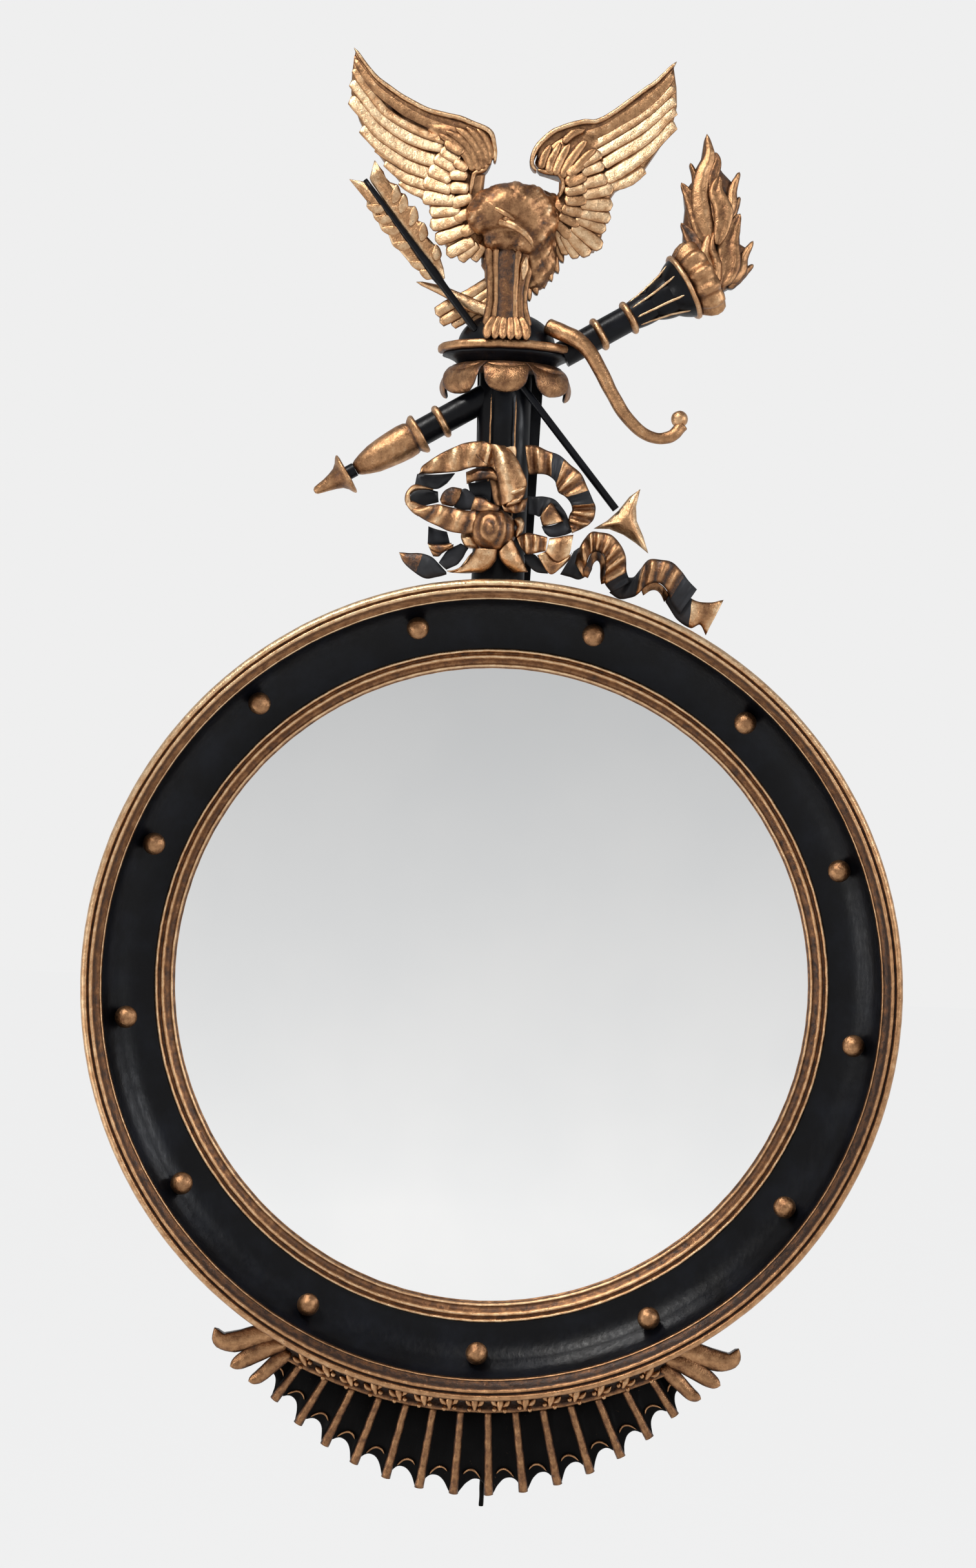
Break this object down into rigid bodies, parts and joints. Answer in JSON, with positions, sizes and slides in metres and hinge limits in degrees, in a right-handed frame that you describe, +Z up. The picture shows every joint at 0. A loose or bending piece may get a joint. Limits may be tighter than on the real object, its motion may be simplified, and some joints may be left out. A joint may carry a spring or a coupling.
{
  "type": "girandole mirror",
  "caption": "Round convex wall mirror in a deep gilt and ebonised frame, topped by a carved eagle, bow, arrow and torch over a tied ribbon, with a ribbed apron below.",
  "frame": {"origin": "centre of the ring on the wall plane", "axes": "X to the viewer's right, Z up, the front faces -Y and the wall is +Y"},
  "size_m": [0.6906, 0.0929, 1.238],
  "materials": {
    "ebonised_wood": "satin black polish, rubbed at the edges",
    "gilt_moulding": "water gilding over red-brown bole, worn on the high places",
    "gilt_carving": "gilded carved pine over red-brown bole, brighter on the high places",
    "mirror_glass": "silvered convex plate",
    "bare_pine": "bare aged pine",
    "brass": "dull brass",
    "iron": "blacked wrought iron"
  },
  "bodies": {
    "frame": {"frame_ring": "ebonised_wood", "column": "ebonised_wood", "crest_board": "ebonised_wood", "capital_cove": "ebonised_wood", "rock_dome": "ebonised_wood", "torch_lower_shaft": "ebonised_wood", "torch_upper_shaft": "ebonised_wood", "torch_neck": "ebonised_wood", "torch_cup": "ebonised_wood", "arrow_upper_shaft": "ebonised_wood", "arrow_lower_shaft": "ebonised_wood", "apron_panel": "ebonised_wood", "apron_peg": "ebonised_wood", "outer_moulding": "gilt_moulding", "reeded_slip": "gilt_moulding", "capital_rim": "gilt_moulding", "torch_rings": "gilt_moulding", "torch_rim": "gilt_moulding", "torch_finial": "gilt_moulding", "torch_grip": "gilt_moulding", "gilt_balls": "gilt_moulding", "leaf_collar": "gilt_carving", "eagle_body": "gilt_carving", "left_wing": "gilt_carving", "right_wing": "gilt_carving", "eagle_tail": "gilt_carving", "bow_left_limb": "gilt_carving", "bow_right_limb": "gilt_carving", "arrow_feather": "gilt_carving", "arrow_head": "gilt_carving", "torch_flame": "gilt_carving", "ribbon_knot": "gilt_carving", "ribbon_front_fold": "gilt_carving", "ribbon_left_loop": "gilt_carving", "ribbon_right_loop": "gilt_carving", "ribbon_inner_loop": "gilt_carving", "ribbon_left_petal": "gilt_carving", "ribbon_right_petal": "gilt_carving", "ribbon_left_tail": "gilt_carving", "ribbon_right_tail": "gilt_carving", "apron_ribs": "gilt_carving", "apron_border": "gilt_carving", "apron_left_leaf": "gilt_carving", "apron_right_leaf": "gilt_carving", "convex_glass": "mirror_glass", "backboard": "bare_pine", "glass_packing": "bare_pine", "ball_pins": "bare_pine", "button_screws": "brass", "hanger_plate": "brass", "crest_strap": "iron", "apron_brackets": "iron", "wood_screws": "iron"},
    "button_1": {"turn_button_1": "brass"},
    "button_2": {"turn_button_2": "brass"},
    "button_3": {"turn_button_3": "brass"},
    "button_4": {"turn_button_4": "brass"},
    "d_ring": {"hanger_ring": "brass"}
  },
  "joints": [
    {"name": "button_1_turn", "type": "hinge", "parent": "frame", "child": "button_1", "pos_m": [0.21991, -0.0045, 0.21991], "axis": [0, 1, 0], "range_deg": [0, 90]},
    {"name": "button_2_turn", "type": "hinge", "parent": "frame", "child": "button_2", "pos_m": [-0.21991, -0.0045, 0.21991], "axis": [0, 1, 0], "range_deg": [0, 90]},
    {"name": "button_3_turn", "type": "hinge", "parent": "frame", "child": "button_3", "pos_m": [-0.21991, -0.0045, -0.21991], "axis": [0, 1, 0], "range_deg": [0, 90]},
    {"name": "button_4_turn", "type": "hinge", "parent": "frame", "child": "button_4", "pos_m": [0.21991, -0.0045, -0.21991], "axis": [0, 1, 0], "range_deg": [0, 90]},
    {"name": "d_ring_swing", "type": "hinge", "parent": "frame", "child": "d_ring", "pos_m": [0, -0.0046, 0.405], "axis": [1, 0, 0], "range_deg": [0, 180]}
  ]
}
